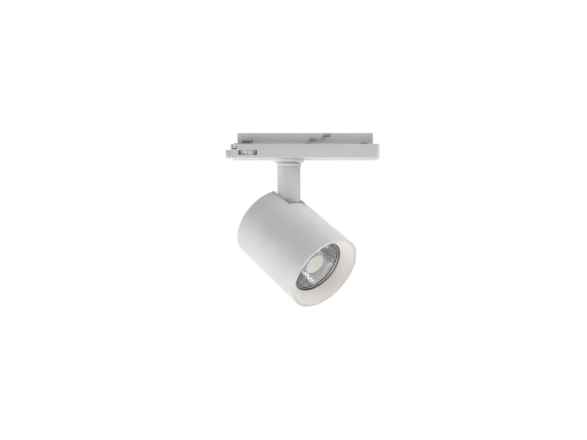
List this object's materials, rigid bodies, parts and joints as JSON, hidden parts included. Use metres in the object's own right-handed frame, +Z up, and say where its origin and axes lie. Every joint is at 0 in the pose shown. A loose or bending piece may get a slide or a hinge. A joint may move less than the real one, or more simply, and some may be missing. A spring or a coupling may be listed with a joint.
{
  "type": "track spotlight",
  "caption": "Cylindrical LED spotlight on a tilting hinge and a pan swivel, hung under a long slim adapter that locks into a lighting track.",
  "frame": {"origin": "on the pan axis, in the plane where the adapter's shoulders meet the track's underside", "axes": "+X along the track away from the release tab, +Y towards the far side of the track, +Z up into the track"},
  "size_m": [0.1789, 0.1379, 0.2007],
  "materials": {
    "powder_coat": "fine matt powder coat",
    "white_plastic": "satin moulded",
    "black_plastic": "matt moulded",
    "cream_baffle": "matt warm white",
    "zinc_steel": "zinc plated",
    "copper": "bright copper alloy",
    "bare_aluminium": "bare die-cast",
    "dark_ring": "satin dark grey",
    "mirror_coating": "faceted vacuum-metallised mirror",
    "clear_glass": "clear",
    "frosted_lens": "frosted warm white",
    "phosphor": "yellow phosphor gel",
    "circuit_board": "solder mask",
    "ferrite": "sintered",
    "capacitor_sleeve": "shrink sleeve",
    "capacitor_box": "moulded",
    "cable_sheath": "satin sheath",
    "red_wire": "insulation",
    "black_wire": "insulation"
  },
  "bodies": {
    "adapter": {"adapter_housing": "white_plastic", "track_body": "white_plastic", "phase_contact_1": "copper", "phase_contact_2": "copper", "phase_contact_3": "copper", "neutral_contact": "copper", "earth_contact_front": "copper", "earth_contact_rear": "copper", "release_spring": "zinc_steel", "driver_board": "circuit_board", "board_screw_1": "zinc_steel", "board_screw_2": "zinc_steel", "transformer": "ferrite", "bulk_capacitor": "capacitor_sleeve", "film_capacitor": "capacitor_box", "output_terminal": "white_plastic", "adapter_cable": "cable_sheath", "swivel_flange": "powder_coat", "flange_screw_1": "zinc_steel", "flange_screw_2": "zinc_steel"},
    "selector": {"phase_selector_wheel": "white_plastic", "selector_wiper": "copper"},
    "release": {"release_slider": "white_plastic"},
    "lug_front": {"lock_lug_front": "zinc_steel"},
    "lug_rear": {"lock_lug_rear": "zinc_steel"},
    "swivel": {"swivel_collar": "powder_coat", "swivel_nipple": "zinc_steel", "swivel_nut": "zinc_steel", "stop_washer": "zinc_steel", "wave_washer": "zinc_steel", "stem_tube": "powder_coat", "tilt_screw": "zinc_steel", "tilt_nut": "zinc_steel", "tilt_washer_left": "black_plastic", "tilt_washer_right": "black_plastic", "stem_cable": "cable_sheath"},
    "head": {"head_tube": "powder_coat", "rear_cover": "powder_coat", "cover_screw_1": "zinc_steel", "cover_screw_2": "zinc_steel", "heat_sink": "bare_aluminium", "hinge_bracket": "zinc_steel", "bracket_screw_1": "zinc_steel", "bracket_screw_2": "zinc_steel", "cob_board": "bare_aluminium", "led_emitter": "phosphor", "cob_holder": "white_plastic", "holder_screw_1": "zinc_steel", "holder_screw_2": "zinc_steel", "condenser_lens": "frosted_lens", "reflector": "mirror_coating", "optic_housing": "black_plastic", "front_glass": "clear_glass", "retaining_ring": "dark_ring", "baffle_ring": "cream_baffle", "lead_red": "red_wire", "lead_black": "black_wire"}
  },
  "joints": [
    {"name": "pan", "type": "hinge", "parent": "adapter", "child": "swivel", "pos_m": [0, 0, -0.0203], "axis": [0, 0, 1], "range_deg": [-160, 160]},
    {"name": "tilt", "type": "hinge", "parent": "swivel", "child": "head", "pos_m": [0, 0, -0.0666], "axis": [0.7022, 0.712, 0], "range_deg": [-31.9, 58.1]},
    {"name": "phase_select", "type": "hinge", "parent": "adapter", "child": "selector", "pos_m": [-0.0476, -0.0033, -0.01], "axis": [0, 0, 1], "range_deg": [-60, 60]},
    {"name": "release_pull", "type": "slide", "parent": "adapter", "child": "release", "axis": [-1, 0, 0], "range_m": [0, 0.004], "stiffness_N_per_m": 200, "deforming": ["release_spring"]},
    {"name": "lug_front_slide", "type": "slide", "parent": "adapter", "child": "lug_front", "axis": [0, 1, 0], "range_m": [0, 0.004]},
    {"name": "lug_rear_slide", "type": "slide", "parent": "adapter", "child": "lug_rear", "axis": [0, -1, 0], "range_m": [0, 0.004]}
  ],
  "couplings": [
    {"joint": "lug_front_slide", "follows": "release_pull", "ratio": 1},
    {"joint": "lug_rear_slide", "follows": "release_pull", "ratio": 1}
  ]
}
